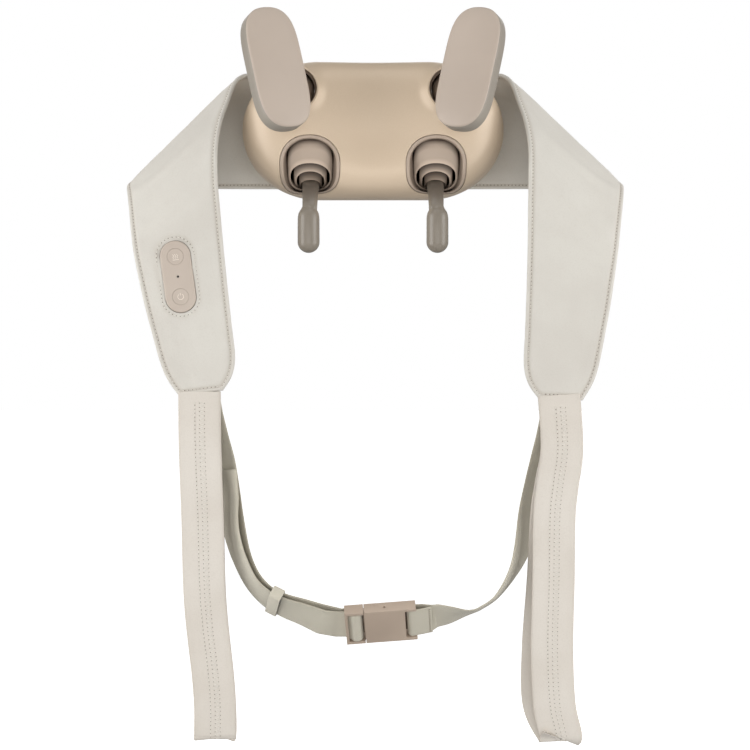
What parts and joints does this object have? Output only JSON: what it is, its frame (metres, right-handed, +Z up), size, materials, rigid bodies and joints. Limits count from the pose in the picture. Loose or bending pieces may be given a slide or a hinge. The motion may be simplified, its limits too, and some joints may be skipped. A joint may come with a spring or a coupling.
{
  "type": "shiatsu neck massager",
  "caption": "Shoulder-worn kneading massager: saddle-fronted pod with tipping paddles and swinging fingers, padded leather arms with a control panel, hand loops and a buckled webbing belt.",
  "frame": {"origin": "the lowest point of the pod's front saddle, where the wearer's nape rests, on the middle plane", "axes": "+Z up along the hanging straps, +Y from the wearer's neck back through the pod, +X to the right as seen from the wearer's side"},
  "size_m": [0.4628, 0.1407, 0.6652],
  "materials": {
    "casing_plastic": "champagne satin lacquer over moulded plastic",
    "paddle_skin": "soft-touch taupe",
    "grey_plastic": "matte warm grey",
    "taupe_plastic": "matte taupe",
    "dark_plastic": "matte near-black",
    "white_plastic": "unpainted acetal",
    "silicone": "matte silicone",
    "leather": "ivory synthetic leather, fine grain",
    "strap_leather": "ivory synthetic leather, fine grain",
    "webbing": "woven grey-beige polyester webbing",
    "steel": "bright steel",
    "circuit_board": "green solder mask",
    "cell_wrap": "blue shrink wrap",
    "led_lens": "smoked lens"
  },
  "bodies": {
    "casing": {"front_shell": "casing_plastic", "rear_cover": "casing_plastic", "back_band": "leather", "case_screws": "steel", "left_arm": "leather", "right_arm": "leather", "left_hand_strap": "strap_leather", "right_hand_strap": "strap_leather", "left_webbing": "webbing", "right_webbing": "webbing", "strap_keeper": "webbing", "buckle_receiver": "taupe_plastic", "control_case": "taupe_plastic", "control_back": "dark_plastic", "control_board": "circuit_board", "status_led": "led_lens", "main_board": "circuit_board", "charge_port": "steel", "battery_pack": "cell_wrap", "drive_motor": "steel", "left_gear_frame": "grey_plastic", "right_gear_frame": "grey_plastic", "left_bezel": "taupe_plastic", "right_bezel": "taupe_plastic", "left_socket_ring": "dark_plastic", "right_socket_ring": "dark_plastic"},
    "heat_button": {"heat_button": "taupe_plastic"},
    "power_button": {"power_button": "taupe_plastic"},
    "buckle_tongue": {"buckle_tongue": "taupe_plastic"},
    "drive": {"drive_shaft": "steel", "left_pinion": "dark_plastic", "right_pinion": "dark_plastic"},
    "left_finger": {"left_finger_shaft": "steel", "left_finger_gear": "white_plastic", "left_finger_arm": "silicone", "left_finger_tip": "silicone", "left_inner_hood": "taupe_plastic"},
    "left_middle_hood": {"left_middle_hood": "taupe_plastic"},
    "left_outer_hood": {"left_outer_hood": "taupe_plastic"},
    "left_paddle": {"left_paddle_shaft": "steel", "left_paddle_sector": "white_plastic", "left_paddle_hub": "taupe_plastic", "left_paddle_base": "grey_plastic", "left_paddle_pad": "paddle_skin"},
    "right_finger": {"right_finger_shaft": "steel", "right_finger_gear": "white_plastic", "right_finger_arm": "silicone", "right_finger_tip": "silicone", "right_inner_hood": "taupe_plastic"},
    "right_middle_hood": {"right_middle_hood": "taupe_plastic"},
    "right_outer_hood": {"right_outer_hood": "taupe_plastic"},
    "right_paddle": {"right_paddle_shaft": "steel", "right_paddle_sector": "white_plastic", "right_paddle_hub": "taupe_plastic", "right_paddle_base": "grey_plastic", "right_paddle_pad": "paddle_skin"}
  },
  "joints": [
    {"name": "right_paddle_tip", "type": "hinge", "parent": "casing", "child": "right_paddle", "pos_m": [0.072, 0.01416, 0.03466], "axis": [1, 0, 0], "range_deg": [0, 10.29]},
    {"name": "left_paddle_tip", "type": "hinge", "parent": "casing", "child": "left_paddle", "pos_m": [-0.072, 0.01416, 0.03466], "axis": [1, 0, 0], "range_deg": [0, 10.29]},
    {"name": "right_finger_swing", "type": "hinge", "parent": "casing", "child": "right_finger", "pos_m": [0.058, 0.041, -0.019], "axis": [-1, 0, 0], "range_deg": [0, 24]},
    {"name": "right_middle_hood_slide", "type": "hinge", "parent": "casing", "child": "right_middle_hood", "pos_m": [0.058, 0.041, -0.019], "axis": [-1, 0, 0], "range_deg": [0, 16]},
    {"name": "right_outer_hood_slide", "type": "hinge", "parent": "casing", "child": "right_outer_hood", "pos_m": [0.058, 0.041, -0.019], "axis": [-1, 0, 0], "range_deg": [0, 8]},
    {"name": "left_finger_swing", "type": "hinge", "parent": "casing", "child": "left_finger", "pos_m": [-0.058, 0.041, -0.019], "axis": [-1, 0, 0], "range_deg": [0, 24]},
    {"name": "left_middle_hood_slide", "type": "hinge", "parent": "casing", "child": "left_middle_hood", "pos_m": [-0.058, 0.041, -0.019], "axis": [-1, 0, 0], "range_deg": [0, 16]},
    {"name": "left_outer_hood_slide", "type": "hinge", "parent": "casing", "child": "left_outer_hood", "pos_m": [-0.058, 0.041, -0.019], "axis": [-1, 0, 0], "range_deg": [0, 8]},
    {"name": "drive_spin", "type": "hinge", "parent": "casing", "child": "drive", "pos_m": [0, 0.05174, -0.04047], "axis": [1, 0, 0], "range_deg": [0, 72]},
    {"name": "heat_press", "type": "slide", "parent": "casing", "child": "heat_button", "axis": [0, 1, 0], "range_m": [0, 0.0008], "stiffness_N_per_m": 600},
    {"name": "power_press", "type": "slide", "parent": "casing", "child": "power_button", "axis": [0, 1, 0], "range_m": [0, 0.0008], "stiffness_N_per_m": 600},
    {"name": "buckle_release", "type": "slide", "parent": "casing", "child": "buckle_tongue", "axis": [-0.9972, 0, -0.075], "range_m": [0, 0.026], "deforming": ["left_webbing"]}
  ],
  "couplings": [
    {"joint": "left_paddle_tip", "follows": "right_paddle_tip", "ratio": 1},
    {"joint": "drive_spin", "follows": "right_paddle_tip", "ratio": 7},
    {"joint": "right_finger_swing", "follows": "right_paddle_tip", "ratio": 2.3333},
    {"joint": "right_middle_hood_slide", "follows": "right_paddle_tip", "ratio": 1.5556},
    {"joint": "right_outer_hood_slide", "follows": "right_paddle_tip", "ratio": 0.77778},
    {"joint": "left_finger_swing", "follows": "right_paddle_tip", "ratio": 2.3333},
    {"joint": "left_middle_hood_slide", "follows": "right_paddle_tip", "ratio": 1.5556},
    {"joint": "left_outer_hood_slide", "follows": "right_paddle_tip", "ratio": 0.77778}
  ]
}
